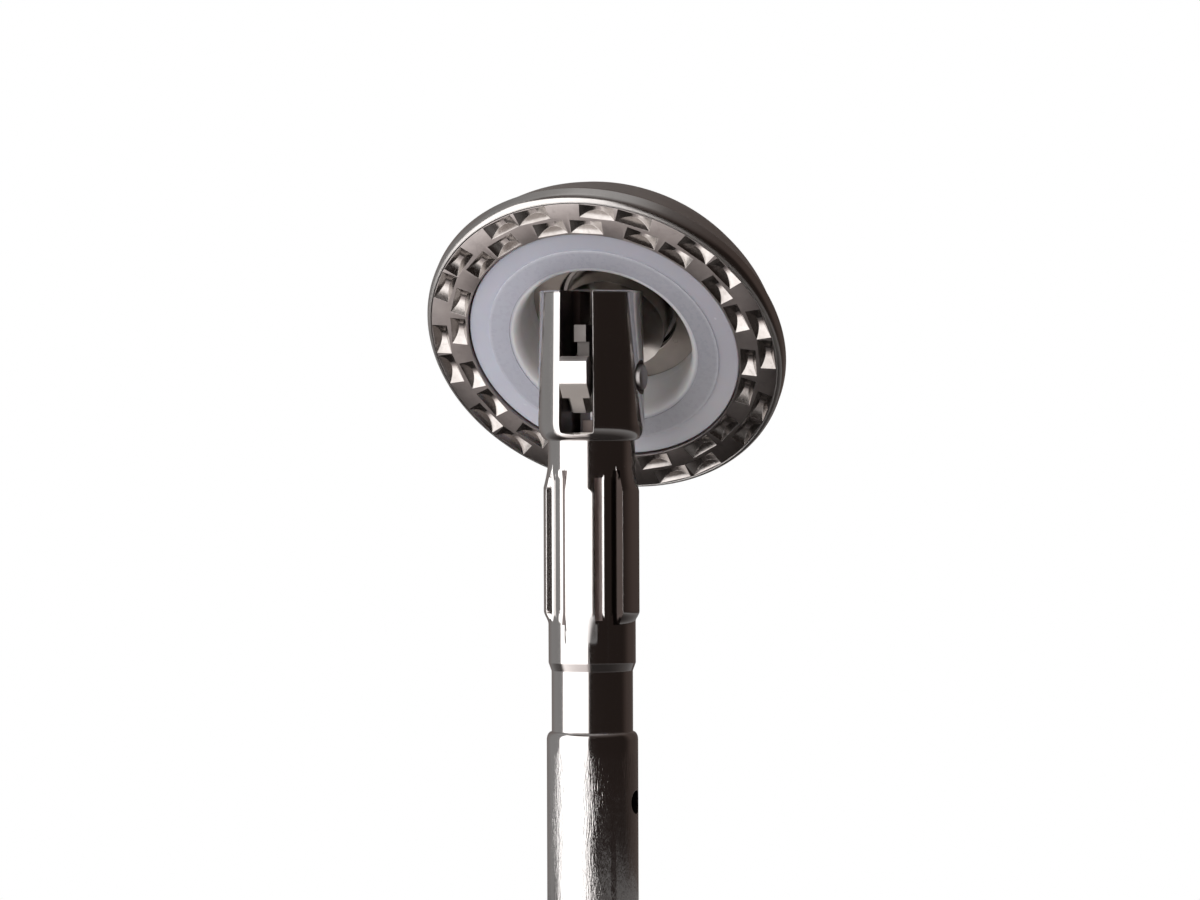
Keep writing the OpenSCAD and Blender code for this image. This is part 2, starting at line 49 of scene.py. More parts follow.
# sizes are in mm; the head is described closed, with z up from the pin, and is turned by its tilt
headFit = {"pinHeight": 44.66, "tilt": 52.0, "faceHeight": 3.37}
rodPlace = Matrix.Scale(mm, 4)
pinPlace = rodPlace @ Matrix.Translation((0, 0, headFit["pinHeight"]))
headPlace = pinPlace @ Matrix.Rotation(math.radians(-headFit["tilt"]), 4, "X")
acrossTurn = Matrix.Rotation(math.pi / 2, 4, "Y")  # from the rod's axis to the pin's


# meshes
def shade(mesh, sharp):
    mesh.shade_smooth()
    mesh.set_sharp_from_angle(angle=math.radians(sharp))


def linkedMesh(name, verts, faces, merge=1e-8):
    mesh = bpy.data.meshes.new(name)
    mesh.from_pydata(verts, [], faces)
    work = bmesh.new()
    work.from_mesh(mesh)
    bmesh.ops.remove_doubles(work, verts=work.verts, dist=merge)
    bmesh.ops.recalc_face_normals(work, faces=work.faces)
    work.to_mesh(mesh)
    work.free()
    piece = bpy.data.objects.new(name, mesh)
    bpy.context.collection.objects.link(piece)
    return piece


def meshObject(name, verts, faces, place, sharp=30):
    piece = linkedMesh(name, [place @ Vector(v) for v in verts], faces)
    shade(piece.data, sharp)
    return piece


def rounded(outline, steps=8):
    # a corner is x, y and the radius of its arc, or x and y alone where it stays sharp
    done = []
    count = len(outline)
    for i, point in enumerate(outline):
        here = Vector(point[:2])
        size = point[2] if len(point) > 2 else 0
        if not size:
            done.append(tuple(here))
            continue
        before = Vector(outline[i - 1][:2]) - here
        after = Vector(outline[(i + 1) % count][:2]) - here
        half = before.angle(after) / 2
        reach = min(size / math.tan(half), before.length * 0.48, after.length * 0.48)
        radius = reach * math.tan(half)
        middle = here + (before.normalized() + after.normalized()).normalized() * radius / math.sin(half)
        start = here + before.normalized() * reach - middle
        end = here + after.normalized() * reach - middle
        sweep = start.angle_signed(end)
        for k in range(steps + 1):
            turn = Matrix.Rotation(-sweep * k / steps, 2)
            done.append(tuple(middle + turn @ start))
    return done


def quarterArc(steps):
    return [math.pi / 2 * i / steps for i in range(steps + 1)]


def lathe(name, outline, place, segments=192, sharp=30, depths=True):
    # points are radius and depth under the head's face, or radius and height without depths
    lift = headFit["faceHeight"] if depths else 0
    verts, rings = [], []
    for radius, height in outline:
        if radius < 1e-6:
            rings.append([len(verts)] * segments)
            verts.append((0, 0, height + lift))
            continue
        rings.append(list(range(len(verts), len(verts) + segments)))
        for k in range(segments):
            a = 2 * math.pi * k / segments
            verts.append((radius * math.cos(a), radius * math.sin(a), height + lift))
    faces = []
    for i, ring in enumerate(rings):
        other = rings[(i + 1) % len(rings)]
        for k in range(segments):
            n = (k + 1) % segments
            corners = [ring[k], ring[n], other[n], other[k]]
            unique = [c for j, c in enumerate(corners) if c not in corners[:j]]
            if len(unique) > 2:
                faces.append(unique)
    return meshObject(name, verts, faces, place, sharp)


def prism(name, outline, low, high, place, sharp=30):
    count = len(outline)
    verts = [(x, y, low) for x, y in outline] + [(x, y, high) for x, y in outline]
    faces = [list(range(count)), list(range(count, 2 * count))]
    faces += [[i, (i + 1) % count, count + (i + 1) % count, count + i] for i in range(count)]
    return meshObject(name, verts, faces, place, sharp)


def settle(piece, sharp):
    # the modifiers' result as a plain mesh
    graph = bpy.context.evaluated_depsgraph_get()
    mesh = bpy.data.meshes.new_from_object(piece.evaluated_get(graph))
    piece.modifiers.clear()
    piece.data = mesh
    mesh.name = piece.name
    shade(mesh, sharp)


def carve(piece, cutters, sharp):
    for cutter in cutters:
        step = piece.modifiers.new(cutter.name, "BOOLEAN")
        step.operation, step.solver, step.object = "DIFFERENCE", "EXACT", cutter
        step.material_mode = "TRANSFER"
    settle(piece, sharp)
    for cutter in cutters:
        bpy.data.objects.remove(cutter)


# node trees
class value:
    # a number in a node tree: an expression on it adds its Math nodes
    def __init__(self, tree, out):
        self.tree, self.out = tree, out

    def math(self, kind, other=None, swap=False):
        node = self.tree.nodes.new("ShaderNodeMath")
        node.operation = kind
        terms = [other, self] if swap else [self, other]
        for i, term in enumerate(terms):
            if isinstance(term, value):
                self.tree.links.new(term.out, node.inputs[i])
            elif term is not None:
                node.inputs[i].default_value = term
        return value(self.tree, node.outputs[0])

    def __add__(self, other):
        return self.math("ADD", other)

    def __radd__(self, other):
        return self.math("ADD", other)

    def __sub__(self, other):
        return self.math("SUBTRACT", other)

    def __rsub__(self, other):
        return self.math("SUBTRACT", other, True)

    def __mul__(self, other):
        return self.math("MULTIPLY", other)

    def __rmul__(self, other):
        return self.math("MULTIPLY", other)

    def __truediv__(self, other):
        return self.math("DIVIDE", other)

    def __rtruediv__(self, other):
        return self.math("DIVIDE", other, True)

    def between(self, low, high):
        # 0 below low, 1 above high, straight in between
        step = self.tree.nodes.new("ShaderNodeMapRange")
        step.clamp = True
        self.tree.links.new(self.out, step.inputs["Value"])
        step.inputs["From Min"].default_value = low
        step.inputs["From Max"].default_value = high
        return value(self.tree, step.outputs["Result"])

    def band(self, low, high, soft):
        # 1 from low to high, with soft edges
        return self.between(low - soft, low + soft) * (1 - self.between(high - soft, high + soft))


class nodeTree:
    def __init__(self, tree):
        self.tree = tree

    def add(self, kind, settings=None, **sockets):
        # a socket is given by its name, or by i and its number where names repeat
        node = self.tree.nodes.new(kind)
        for key, setting in (settings or {}).items():
            setattr(node, key, setting)
        for key, given in sockets.items():
            numbered = key[0] == "i" and key[1:].isdigit()
            socket = node.inputs[int(key[1:]) if numbered else key.replace("_", " ")]
            if isinstance(given, value):
                given = given.out
            if isinstance(given, bpy.types.NodeSocket):
                self.tree.links.new(given, socket)
            else:
                socket.default_value = given
        return node

    def number(self, out):
        return value(self.tree, out)

    def axisPart(self, vector, axis):
        return self.number(self.add("ShaderNodeSeparateXYZ", Vector=vector).outputs[axis])

    def radius(self, vector):
        flat = self.add("ShaderNodeVectorMath", {"operation": "MULTIPLY"}, i0=vector, i1=(1, 1, 0))
        length = self.add("ShaderNodeVectorMath", {"operation": "LENGTH"}, i0=flat.outputs[0])
        return self.number(length.outputs["Value"])

    def mixed(self, factor, first, second):
        node = self.add("ShaderNodeMix", {"data_type": "RGBA"}, Factor=factor)
        for index, colour in ((6, first), (7, second)):
            if isinstance(colour, bpy.types.NodeSocket):
                self.tree.links.new(colour, node.inputs[index])
            else:
                node.inputs[index].default_value = (*colour, 1)
        return node.outputs[2]


class finish(nodeTree):
    # a material whose constants are set at once and whose patterns are linked by set and relief
    def __init__(self, name, **constants):
        self.material = bpy.data.materials.new(name)
        self.material.use_nodes = True
        super().__init__(self.material.node_tree)
        self.shader = self.tree.nodes["Principled BSDF"]
        for socket, number in constants.items():
            self.shader.inputs[socket.replace("_", " ")].default_value = number
        self.place = self.add("ShaderNodeTexCoord").outputs["Object"]

    def mapped(self, scale=(1, 1, 1), head=False):
        vector = self.place
        if head:
            vector = self.add("ShaderNodeMapping", {"vector_type": "TEXTURE"}, Vector=vector,
                              Location=(0, 0, headFit["pinHeight"] * mm),
                              Rotation=(math.radians(-headFit["tilt"]), 0, 0)).outputs[0]
        return self.add("ShaderNodeMapping", Vector=vector, Scale=scale).outputs[0]

    def noise(self, vector, scale, detail=3, rough=0.5, warp=0):
        return self.number(self.add("ShaderNodeTexNoise", Vector=vector, Scale=scale, Detail=detail,
                                    Roughness=rough, Distortion=warp).outputs[0])

    def turnedLines(self, radius, scale, detail):
        return self.number(self.add("ShaderNodeTexNoise", {"noise_dimensions": "1D"}, W=radius * scale,
                                    Scale=1.0, Detail=detail).outputs[0])

    def set(self, **sockets):
        for key, given in sockets.items():
            self.tree.links.new(given.out if isinstance(given, value) else given,
                                self.shader.inputs[key.replace("_", " ")])

    def relief(self, height, distance, edge=0):
        bump = self.add("ShaderNodeBump", Strength=1.0, Distance=distance, Height=height)
        if edge:
            soft = self.add("ShaderNodeBevel", {"samples": 4}, Radius=edge * mm)
            self.tree.links.new(soft.outputs[0], bump.inputs["Normal"])
        self.set(Normal=bump.outputs[0])


def dress(piece, *finishes):
    piece.data.materials.clear()
    for one in finishes:
        piece.data.materials.append(one.material)


def dressNode(name, one):
    for slot in nodes[name].material_slots:
        slot.material = one.material


# finishes: places and rounded edges in mm, pattern scales per metre, relief in metres
def rodFinish():
    look = {"light": (0.62, 0.605, 0.6), "dark": (0.52, 0.5, 0.49), "rough": 0.06, "barrelTop": 19.8,
            "barrelFade": 0.8, "smear": 10.0, "relief": 0.000003, "edge": 0.05,
            "streakScale": 3200, "smearScale": 7000, "patchScale": 420, "cloudScale": 160,
            "scratchScale": 5200}
    f = finish("rodSteel", Metallic=1.0)
    height = f.axisPart(f.place, 2)
    barrel = 1 - height.between((look["barrelTop"] - look["barrelFade"]) * mm, look["barrelTop"] * mm)
    streak = f.noise(f.mapped((1, 1, 0.025)), look["streakScale"], 4, 0.6)
    smear = f.noise(f.mapped((1, 1, 0.16)), look["smearScale"], 3, 0.65, 0.2)
    patch = f.noise(f.mapped((1, 1, 0.3)), look["patchScale"], 2).between(0.35, 0.65)
    cloud = f.noise(f.mapped((1, 1, 0.5)), look["cloudScale"], 3)
    scratch = f.noise(f.mapped((1, 1, 0.01)), look["scratchScale"], 1).between(0.66, 0.78)
    f.set(Base_Color=f.mixed(cloud.between(0.3, 0.75), look["light"], look["dark"]),
          Roughness=look["rough"] + streak * 0.06 + cloud * 0.04 + barrel * 0.03 + scratch * 0.08)
    f.relief(streak * 0.5 + barrel * (0.5 + patch) * smear * look["smear"] - scratch * 0.3,
             look["relief"], look["edge"])
    return f


def flankFinish():
    # painted shade in the front spline's left channel, painted highlight in its right one, painted shadow on
    # the next spline's flank
    look = {"paintedLight": (0.8, 0.68, 0.65), "paintedLightLines": (0.5, 0.41, 0.39), "paintedShade": (0.2, 0.17, 0.165),
            "paintedShadeLines": (0.13, 0.11, 0.105), "paintedShadow": (0.045, 0.035, 0.032), "paintedShadowFrom": 1.8, "rough": 0.5,
            "lineScale": 9000, "cloudScale": 700, "relief": 0.000003, "edge": 0.02}
    f = finish("flankSteel", Metallic=1.0)
    lines = f.noise(f.mapped((1, 1, 0.02)), look["lineScale"], 3, 0.6)
    cloud = f.noise(f.mapped((1, 1, 0.3)), look["cloudScale"], 3)
    across = f.axisPart(f.place, 0)
    shine = lines.between(0.3, 0.7)
    # left of the middle the channel is painted dark (painted shade), right of it pale (painted highlight);
    # the lines in both are grain
    colour = f.mixed(across.between(0, 0.2 * mm), f.mixed(shine, look["paintedShade"], look["paintedShadeLines"]),
                     f.mixed(shine, look["paintedLight"], look["paintedLightLines"]))
    # further out the flank is painted near black: painted shadow
    paintedShadowMask = across.between(look["paintedShadowFrom"] * mm, (look["paintedShadowFrom"] + 0.1) * mm)
    f.set(Base_Color=f.mixed(paintedShadowMask, colour, look["paintedShadow"]),
          Roughness=look["rough"] + cloud * 0.12 - paintedShadowMask * 0.2)
    f.relief(lines + cloud * 0.5, look["relief"], look["edge"])
    return f


def headFinish():
    # turned satin with a polished rim
    look = {"light": (0.56, 0.54, 0.525), "dark": (0.44, 0.425, 0.415), "rim": 12.25, "rimFade": 0.12,
            "rough": 0.3, "turnScale": 9000.0, "cloudScale": 220, "fineScale": 4200,
            "relief": 0.0000025, "edge": 0.03}
    f = finish("headSteel", Metallic=1.0)
    there = f.mapped(head=True)
    radius = f.radius(there)
    rim = radius.between(look["rim"] * mm, (look["rim"] + look["rimFade"]) * mm)
    turned = f.turnedLines(radius, look["turnScale"], 3.0)
    cloud = f.noise(there, look["cloudScale"], 4, 0.6)
    fine = f.noise(there, look["fineScale"], 3, 0.6)
    f.set(Base_Color=f.mixed(cloud.between(0.3, 0.75), look["light"], look["dark"]),
          Roughness=look["rough"] + cloud * 0.08 + fine * 0.06 - rim * 0.2)
    f.relief(turned + fine * 0.5, look["relief"], look["edge"])
    return f


def pocketFinish(name, light, dark, rough, relief):
    look = {"cloudScale": 420, "fineScale": 5200, "stainScale": 950, "stain": 0.55, "edge": 0.03}
    f = finish(name, Metallic=1.0)
    there = f.mapped(head=True)
    cloud = f.noise(there, look["cloudScale"], 5, 0.65)
    fine = f.noise(there, look["fineScale"], 4, 0.7)
    stain = f.noise(there, look["stainScale"], 4, 0.6, 0.8).between(0.58, 0.8)
    colour = f.mixed(cloud.between(0.3, 0.7), light, dark)
    f.set(Base_Color=f.mixed(stain * 0.5, colour, tuple(c * look["stain"] for c in dark)),
          Roughness=rough + fine * 0.14 + stain * 0.1)
    f.relief(fine + cloud * 0.8, relief, look["edge"])
    return f


def machinedFinish(name, light, dark, rough):
    look = {"cloudScale": 500, "grainScale": 2600, "relief": 0.000002, "edge": 0.03}
    f = finish(name, Metallic=1.0)
    cloud = f.noise(f.place, look["cloudScale"], 3)
    grain = f.noise(f.mapped((1, 0.08, 1)), look["grainScale"], 3, 0.6)
    f.set(Base_Color=f.mixed(cloud.between(0.3, 0.7), light, dark),
          Roughness=rough + grain * 0.12 + cloud * 0.05)
    f.relief(grain, look["relief"], look["edge"])
    return f


def postFinish():
    # grey boss, and a tongue whose tail has a painted highlight on its front between greyer faces
    look = {"boss": (0.4, 0.37, 0.35), "bossDark": (0.3, 0.275, 0.255), "tongue": (0.47, 0.445, 0.42),
            "tongueDark": (0.43, 0.405, 0.385), "front": (0.66, 0.64, 0.63), "tongueHalf": 0.96,
            "tongueTop": 5.6, "highlightLow": 44.1, "highlightHigh": 45.9, "rough": 0.24,
            "cloudScale": 500, "grainScale": 2600, "relief": 0.000002, "edge": 0.03}
    f = finish("postSteel", Metallic=1.0)
    there = f.mapped(head=True)
    cloud = f.noise(there, look["cloudScale"], 3).between(0.3, 0.7)
    grain = f.noise(f.mapped((1, 0.08, 1)), look["grainScale"], 3, 0.6)
    side = f.axisPart(there, 0).math("ABSOLUTE")
    tongue = (1 - side.between(look["tongueHalf"] * mm, (look["tongueHalf"] + 0.04) * mm)) \
        * (1 - f.axisPart(there, 2).between(look["tongueTop"] * mm, (look["tongueTop"] + 0.2) * mm))
    height = f.axisPart(f.place, 2)
    # a band across the tail's front is painted pale: painted highlight
    front = height.between(look["highlightLow"] * mm, (look["highlightLow"] + 0.2) * mm) \
        * (1 - height.between((look["highlightHigh"] - 0.15) * mm, look["highlightHigh"] * mm))
    boss = f.mixed(cloud, look["boss"], look["bossDark"])
    tail = f.mixed(front, f.mixed(cloud, look["tongue"], look["tongueDark"]), look["front"])
    f.set(Base_Color=f.mixed(tongue, boss, tail), Roughness=look["rough"] + grain * 0.12 + tongue * 0.14)
    f.relief(grain, look["relief"], look["edge"])
    return f


# the white face's shade grows from left to right, and is lighter low down
ringShade = {"left": -11, "right": 10, "lightFrom": 1, "lightTo": 8}


def faceShade(f, there):
    across = f.axisPart(there, 0).between(ringShade["left"] * mm, ringShade["right"] * mm)
    return across, f.axisPart(there, 1).between(ringShade["lightFrom"] * mm, ringShade["lightTo"] * mm)


def plasticFinish():
    look = {"light": (0.68, 0.68, 0.77), "dark": (0.6, 0.6, 0.7), "shadeHigh": (0.41, 0.39, 0.43),
            "shadeLow": (0.56, 0.53, 0.54), "inside": (0.8, 0.77, 0.78), "speck": (0.85, 0.85, 0.9),
            "insideEnd": 6.35, "faceStart": 6.6, "rough": 0.38, "turnScale": 5200.0, "cloudScale": 210,
            "fineScale": 3600, "speckScale": 1500, "relief": 0.000004, "edge": 0.04}
    f = finish("ringPlastic", Metallic=0.0, IOR=1.5, Subsurface_Weight=0.25, Subsurface_Scale=0.001)
    there = f.mapped(head=True)
    radius = f.radius(there)
    turned = f.turnedLines(radius, look["turnScale"], 2.0)
    cloud = f.noise(there, look["cloudScale"], 4, 0.55)
    fine = f.noise(there, look["fineScale"], 3, 0.6)
    speck = f.noise(there, look["speckScale"], 2).between(0.73, 0.79)
    across, low = faceShade(f, there)
    colour = f.mixed(cloud.between(0.3, 0.75), look["light"], look["dark"])
    colour = f.mixed(across, colour, f.mixed(low, look["shadeHigh"], look["shadeLow"]))
    # inside the hole the wall is painted paler than the face: painted light where it gets little lamp light
    colour = f.mixed(radius.between(look["insideEnd"] * mm, look["faceStart"] * mm), look["inside"], colour)
    f.set(Base_Color=f.mixed(speck * 0.5, colour, look["speck"]),
          Roughness=look["rough"] + fine * 0.12 + cloud * 0.08)
    f.relief(turned * 0.6 + fine * 0.8 + cloud, look["relief"], look["edge"])
    return f


def filmFinish():
    look = {"light": (0.74, 0.74, 0.83), "dark": (0.66, 0.66, 0.75), "shadeHigh": (0.5, 0.49, 0.53),
            "shadeLow": (0.66, 0.63, 0.64), "edgeHighlight": (0.86, 0.86, 0.92), "edgeStart": 7.8,
            "edgeEnd": 8.0, "alpha": 0.42, "rough": 0.22, "cloudScale": 380, "fineScale": 3000,
            "relief": 0.000006}
    f = finish("coverFilm", Metallic=0.0, IOR=1.5)
    there = f.mapped(head=True)
    cloud = f.noise(there, look["cloudScale"], 3)
    fine = f.noise(there, look["fineScale"], 3)
    edge = f.radius(there).between(look["edgeStart"] * mm, look["edgeEnd"] * mm)
    across, low = faceShade(f, there)
    film = f.mixed(across, f.mixed(cloud, look["light"], look["dark"]),
                   f.mixed(low, look["shadeHigh"], look["shadeLow"]))
    # a paler band along the film's outer edge: painted highlight
    f.set(Base_Color=f.mixed(edge * 0.25, film, look["edgeHighlight"]),
          Alpha=look["alpha"] + cloud * 0.12 + edge * 0.15, Roughness=look["rough"] + fine * 0.12)
    f.relief(cloud + fine * 0.3, look["relief"])
    return f


rodSteel = rodFinish()
flankSteel = flankFinish()
# the slot's walls, the rod's bores and holes and the plunger are painted near black: painted shade inside the
# fork and rod
slotSteel = machinedFinish("slotSteel", (0.17, 0.14, 0.13), (0.1, 0.08, 0.075), 0.34)
headSteel = headFinish()
pocketSteel = pocketFinish("pocketSteel", (0.38, 0.35, 0.34), (0.28, 0.255, 0.25), 0.27, 0.000005)
pocketBright = pocketFinish("pocketBright", (0.5, 0.475, 0.46), (0.3, 0.275, 0.26), 0.13, 0.000003)
# the cam latch in the slot is painted dark grey: painted shade
latchSteel = machinedFinish("latchSteel", (0.14, 0.13, 0.125), (0.1, 0.09, 0.085), 0.42)
postSteel = postFinish()
plateSteel = machinedFinish("plateSteel", (0.5, 0.46, 0.42), (0.4, 0.365, 0.33), 0.22)
washerSteel = machinedFinish("washerSteel", (0.58, 0.56, 0.55), (0.46, 0.44, 0.43), 0.16)
pinEndSteel = machinedFinish("pinEndSteel", (0.4, 0.38, 0.375), (0.3, 0.28, 0.275), 0.34)
springSteel = machinedFinish("springSteel", (0.42, 0.4, 0.38), (0.3, 0.28, 0.27), 0.26)
ringPlastic = plasticFinish()
coverFilm = filmFinish()
print("scene: finishes made")


# the centre rod: heights over its lower mouth, widths from its axis
rodSizes = {
    "length": 50.5, "edge": 0.15, "fork": 3.59, "forkEnd": 41.6, "shoulder": 1.2, "neck": 2.95,
    "grooveTop": 25.4, "grooveEnd": 20.2, "groove": 2.75, "slope": 0.55, "barrel": 3.09,
    "slot": 1.1, "slotFloor": 40.95, "slotEdge": 0.17,
    "pinHole": 0.9, "sink": 0.27, "sinkStart": 0.42, "sinkEnd": 0.06,
    "plungerBore": 1.5, "plungerFloor": 25.9,
    "trocar": 2.2, "trocarDepth": 18.0, "detent": 2.45, "detentAt": 6.4, "detentWidth": 0.9,
    "slits": 4, "slit": 0.2, "slitLength": 8.4, "crossHole": 0.8, "crossAt": 16.0, "sharp": 14}

# the front spline's crest runs on down to crestEnd; flank is the stretch with its own finish, in degrees
splineSizes = {
    "count": 5, "turn": 2.9, "top": 38.9, "end": 28.0, "rampUp": 2.0, "rampLow": 0.9, "radius": 3.25,
    "tipHalf": 1.04, "footHalf": 1.08, "crest": 5.5, "crestEnd": 26.3, "crestRamp": 2.8,
    "tipRound": 0.04, "footRound": 0.2, "floorRound": 0.06, "farRound": 0.05,
    "channel": 0.43, "channelDepth": 0.09, "channelFloor": 0.67, "flank": (18.4, 28.4),
    "fadeTop": (0.4, 0.7), "fadeEnd": (0.1, 0.8), "spread": 0.12, "rowStep": 0.1, "wideStep": 0.7,
    "channelInset": (0.3, 1.0), "flankInset": (0.0, 0.5)}


def splineSection():
    # turn and radius from the middle of a spline over its flank and channel to the neck's round
    s, neck = splineSizes, rodSizes["neck"]

    def crestHeight(x):
        return s["radius"] - s["crest"] + math.sqrt(s["crest"] ** 2 - x ** 2)

    def roundHeight(radius, x):
        return math.sqrt(radius ** 2 - x ** 2)

    tip, foot, bed = s["tipHalf"], s["footHalf"], neck - s["channelDepth"]
    floor, far = foot + s["channel"] * s["channelFloor"], foot + s["channel"]
    crest = [(tip * i / 5, crestHeight(tip * i / 5)) for i in range(5)]
    line = rounded(crest + [(tip, crestHeight(tip), s["tipRound"]),
                            (foot, roundHeight(bed, foot), s["footRound"]),
                            (floor, roundHeight(bed, floor), s["floorRound"]),
                            (far, roundHeight(neck, far), s["farRound"]),
                            (neck * math.sin(0.6), neck * math.cos(0.6))], 9)
    section = [(math.degrees(math.atan2(x, y)), math.hypot(x, y)) for x, y in line]
    return section + [(180 / s["count"], neck)]


def sectionRadius(section, at):
    for (a, ra), (b, rb) in zip(section, section[1:]):
        if a <= at <= b:
            return ra + (rb - ra) * (at - a) / max(b - a, 1e-9)
    return section[-1][1]


def clamp(number):
    return min(1, max(0, number))


def splineRadius(section, off, height, front):
    # the crest rises from the neck's round by its ramps, and the channels fade out
    s, neck = splineSizes, rodSizes["neck"]
    top = clamp((s["top"] - height) / s["rampUp"]) ** 1.5
    low = clamp((height - s["crestEnd"]) / s["crestRamp"] if front else (height - s["end"]) / s["rampLow"])
    fade = min(clamp((s["top"] - s["fadeTop"][0] - height) / s["fadeTop"][1]),
               max(0, (height - s["end"] - s["fadeEnd"][0]) / s["fadeEnd"][1]))
    full = sectionRadius(section, off / (1 + s["spread"] * (1 - fade)))
    if full > neck:
        return min(neck + (full - neck) * low * low * (3 - 2 * low), neck + (s["radius"] - neck) * top * 1.3)
    return neck - (neck - full) * fade


def rodRows():
    # radius and height down the rod, with close rows where the splines rise and fall
    s, p = rodSizes, splineSizes
    fork, neck, groove, edge, top = s["fork"], s["neck"], s["groove"], s["edge"], s["length"]
    # a first or last corner that is cut off again only gives its neighbour's arc a direction
    rows = rounded([(0.2, top), (fork - edge, top, 0.1), (fork, top - edge, 0.1)], 4)[1:]
    rows += [(neck + (fork - neck) * math.cos(a), s["forkEnd"] - s["shoulder"] * math.sin(a))
             for a in quarterArc(12)]
    low, high = p["crestEnd"] - 0.1, p["top"] + 0.3
    heights = [high - p["rowStep"] * i for i in range(28)] + [low + p["rowStep"] * i for i in range(31)]
    heights += [low + 3.7 + p["wideStep"] * i for i in range(9)]
    rows += [(neck, z) for z in sorted({round(z, 4) for z in heights}, reverse=True)]
    rows += rounded([(neck, 26.1), (neck, s["grooveTop"], 0.14), (groove, s["grooveTop"] - s["slope"], 0.12),
                     (groove, 22.0)])[1:-1]
    rows += [(groove + (s["barrel"] - groove) * math.cos(a), s["grooveEnd"] + s["slope"] * math.sin(a))
             for a in reversed(quarterArc(8))]
    rows += rounded([(s["barrel"], 10.0), (s["barrel"], edge, 0.06), (s["barrel"] - edge, 0, 0.04),
                     (0.2, 0)], 3)[1:-1]
    return rows


def offMiddle(turn, sector):
    return abs((turn + sector / 2) % sector - sector / 2)


def makeRodBody():
    s, rows, section = splineSizes, rodRows(), splineSection()
    sector = 360 / s["count"]
    offs = [side * a for a, r in section if a < sector / 2 - 0.01 for side in (-1, 1)] + [sector / 2]
    turns = sorted({round((off + sector * i) % 360, 5) for off in offs for i in range(s["count"])})
    verts = []
    for r, z in rows:
        for t in turns:
            radius = r
            if s["crestEnd"] < z < s["top"]:
                front = t < sector / 2 or t > 360 - sector / 2
                radius = splineRadius(section, offMiddle(t, sector), z, front)
            a = math.radians(t + s["turn"])
            verts.append((radius * math.sin(a), -radius * math.cos(a), z))
    n, last = len(turns), len(rows) - 1
    faces = [[i * n + k, i * n + (k + 1) % n, (i + 1) * n + (k + 1) % n, (i + 1) * n + k]
             for i in range(last) for k in range(n)]
    faces += [list(range(n)), list(range(last * n, (last + 1) * n))]
    rod = meshObject("centreRod", verts, faces, rodPlace, rodSizes["sharp"])
    dress(rod, rodSteel, flankSteel)
    for face in rod.data.polygons:
        x, y, z = (c / mm for c in face.center)
        turn = math.degrees(math.atan2(x, -y)) - s["turn"]
        # the front spline's channels, and the left flank of the one beside it
        if 0 < turn < sector / 2:
            inset = s["channelInset"]
        elif -sector / 2 < turn < sector:
            inset = s["flankInset"]
        else:
            continue
        beside = s["flank"][0] < offMiddle(turn, sector) < s["flank"][1]
        if beside and s["end"] + inset[0] < z < s["top"] - inset[1]:
            face.material_index = 1
    return rod


def slotCutters():
    # the slot with its chamfered long edges, and the chamfers of its floor
    s = rodSizes
    legs, far, outer = s["slotEdge"], s["fork"] + 2, s["slot"] + s["slotEdge"] + 1
    edgeY = math.sqrt(s["fork"] ** 2 - s["slot"] ** 2)
    quarter = [(s["slot"], -edgeY + legs), (s["slot"] + legs, -edgeY), (outer, -edgeY - 1), (outer, -far)]
    front = quarter + [(-x, y) for x, y in reversed(quarter)]
    outline = front + [(-x, -y) for x, y in front]
    slot = prism("slotCutter", outline, s["slotFloor"], s["length"] + 2, rodPlace)
    along = Matrix(((0, 0, 1, 0), (1, 0, 0, 0), (0, 1, 0, 0), (0, 0, 0, 1)))
    lipPlace = rodPlace @ Matrix.Translation((0, 0, s["slotFloor"])) @ along
    lips = []
    for face in (-1, 1):
        y = face * edgeY
        outline = [(y - face * legs, 0), (y + face * 2 * legs, 0), (y + face * 2 * legs, -legs * 3)]
        lips.append(prism("slotLip%d" % (face + 1), outline, -s["slot"], s["slot"], lipPlace))
    return slot, lips


def makeRod():
    s = rodSizes
    rod = makeRodBody()
    slot, lips = slotCutters()
    sink, fork = s["pinHole"] + s["sink"], s["fork"]
    pinHole = lathe("pinHoleCutter", [(0, -5), (s["pinHole"], -5), (s["pinHole"], fork - s["sinkStart"]),
                                      (sink, fork - s["sinkEnd"]), (sink, 5), (0, 5)],
                    pinPlace @ acrossTurn, 64, depths=False)
    bore = lathe("plungerCutter", [(0, s["plungerFloor"]), (s["plungerBore"], s["plungerFloor"]),
                                   (s["plungerBore"], 52), (0, 52)], rodPlace, 64, depths=False)
    r, d, w = s["trocar"], s["detentAt"], s["detentWidth"]
    trocar = lathe("trocarCutter", [(0, -1), (r + 0.3, -1), (r + 0.3, -0.01), (r, 0.25), (r, d),
                                    (s["detent"], d + w / 4), (s["detent"], d + w * 0.75), (r, d + w),
                                    (r, s["trocarDepth"]), (0, s["trocarDepth"] + r / 2)],
                   rodPlace, 96, depths=False)
    cross = lathe("crossCutter", [(0, 0), (s["crossHole"], 0), (s["crossHole"], 5), (0, 5)],
                  rodPlace @ Matrix.Translation((0, 0, s["crossAt"])) @ acrossTurn, 48, depths=False)
    slits = []
    for i in range(s["slits"]):
        turn = Matrix.Rotation(math.radians((i + 0.5) * 360 / s["slits"]), 4, "Z")
        outline = [(0, -s["slit"]), (5, -s["slit"]), (5, s["slit"]), (0, s["slit"])]
        slits.append(prism("slitCutter%d" % i, outline, -1, s["slitLength"], rodPlace @ turn))
    # the faces these cutters leave take the dark painted shade, the slot's lips the rod's steel
    for one in [slot, bore, trocar, pinHole, cross] + slits:
        dress(one, slotSteel)
    for one in lips:
        dress(one, rodSteel)
    carve(rod, [slot, bore, trocar, pinHole, cross] + lips + slits, s["sharp"])
    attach(rod, "root")
    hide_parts("center_rod")
    print("scene: centre rod,", len(rod.data.polygons), "faces")


makeRod()


